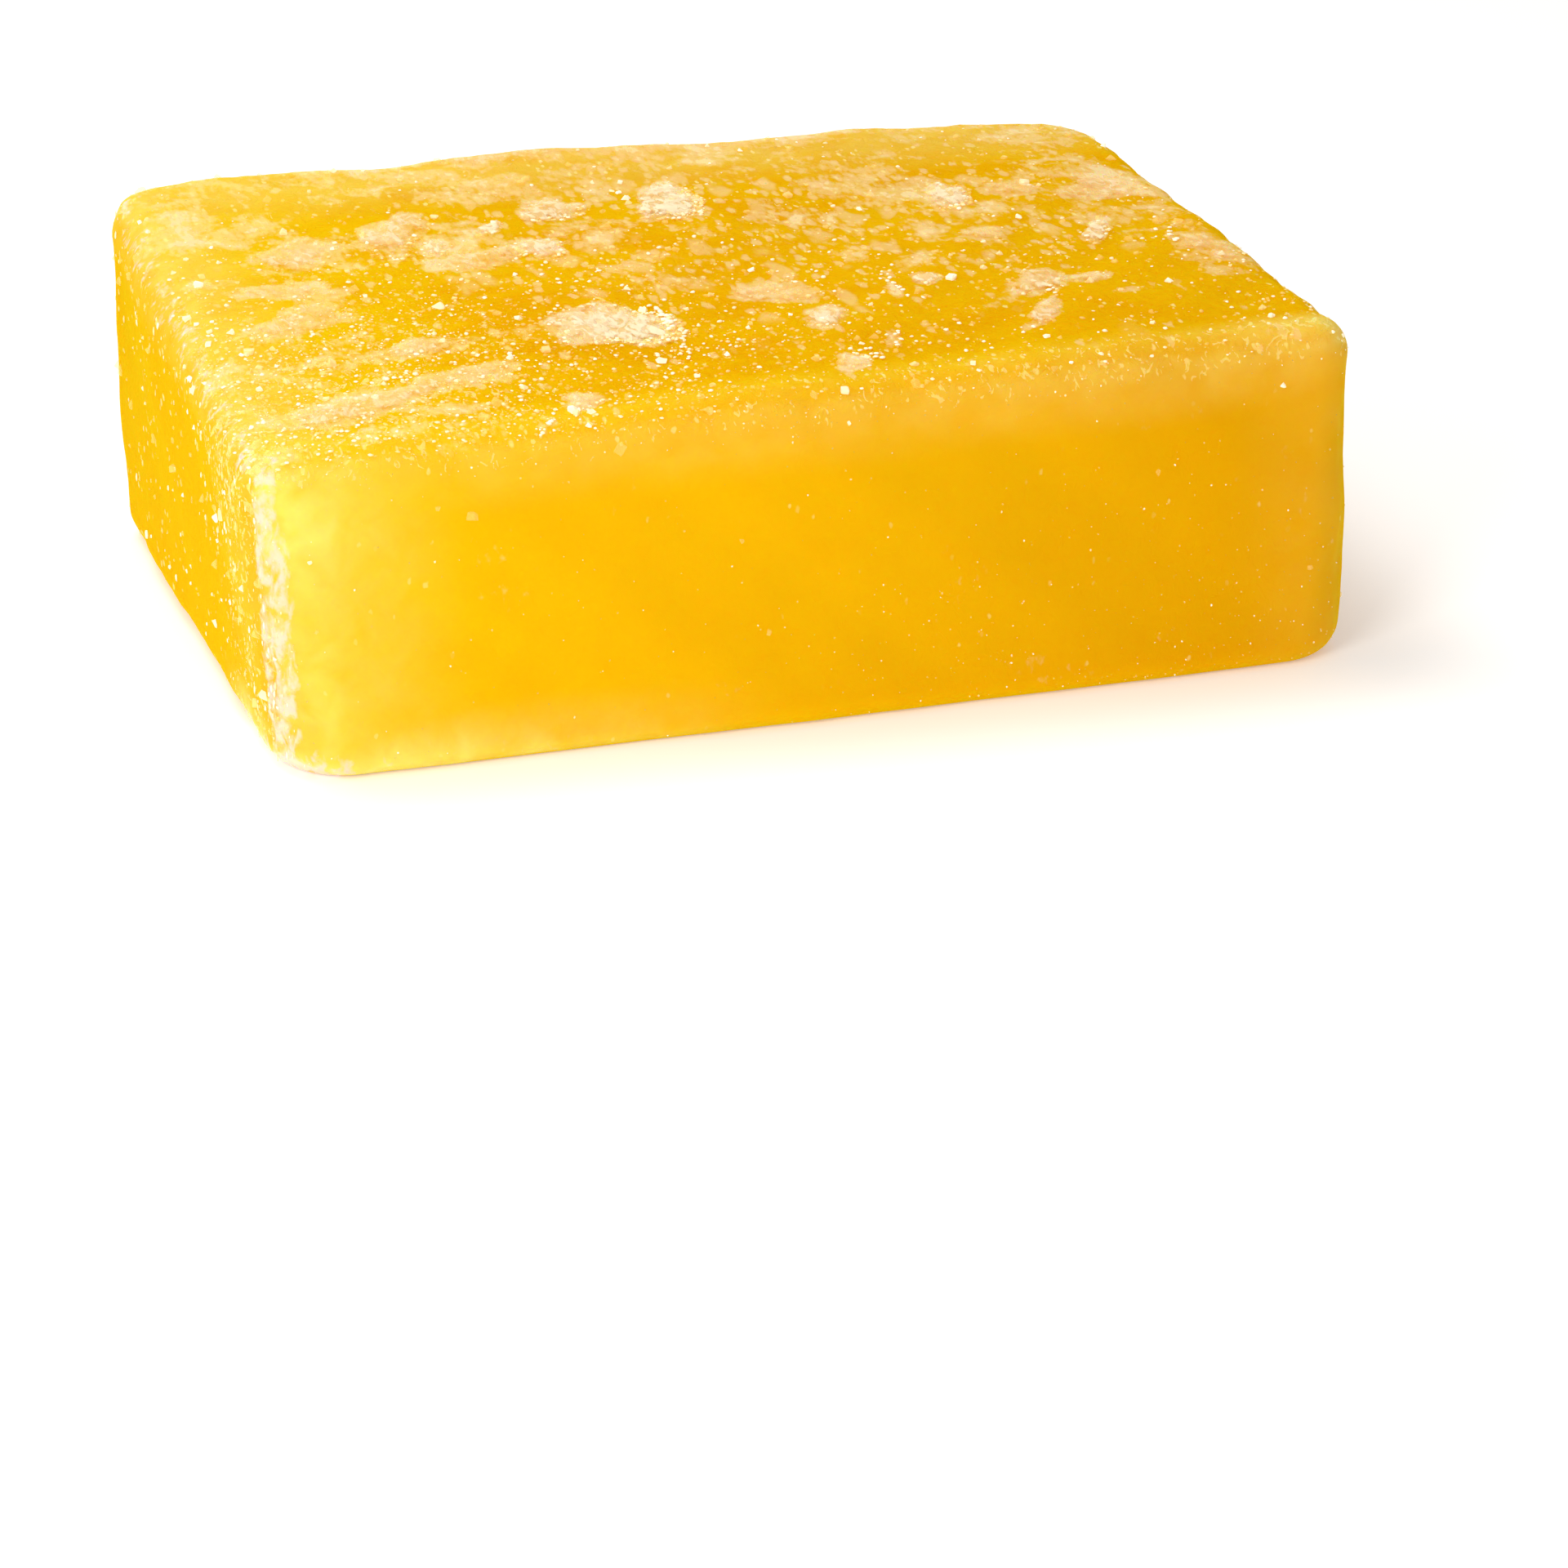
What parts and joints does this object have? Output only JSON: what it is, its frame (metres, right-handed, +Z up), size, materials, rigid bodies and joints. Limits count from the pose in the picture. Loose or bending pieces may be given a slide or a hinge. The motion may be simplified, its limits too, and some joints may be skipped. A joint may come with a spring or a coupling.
{
  "type": "candied cactus block",
  "caption": "Hand-cut rectangular block of soft amber candied cactus with rounded uneven edges, a flaky sugar crust on its top and coarse sugar crystals on its skin.",
  "frame": {"origin": "middle of the flat face that the block rests on, under the centre of its box", "axes": "+X along the long side to the right, +Y from the front face to the back, +Z up through the block's thickness"},
  "size_m": [0.0626, 0.0464, 0.0208],
  "materials": {
    "candy": "soft translucent amber candy, slightly sticky and satin, with whitish flakes of dried syrup and white sugar crystals"
  },
  "bodies": {
    "root": {"block": "candy"}
  },
  "joints": []
}
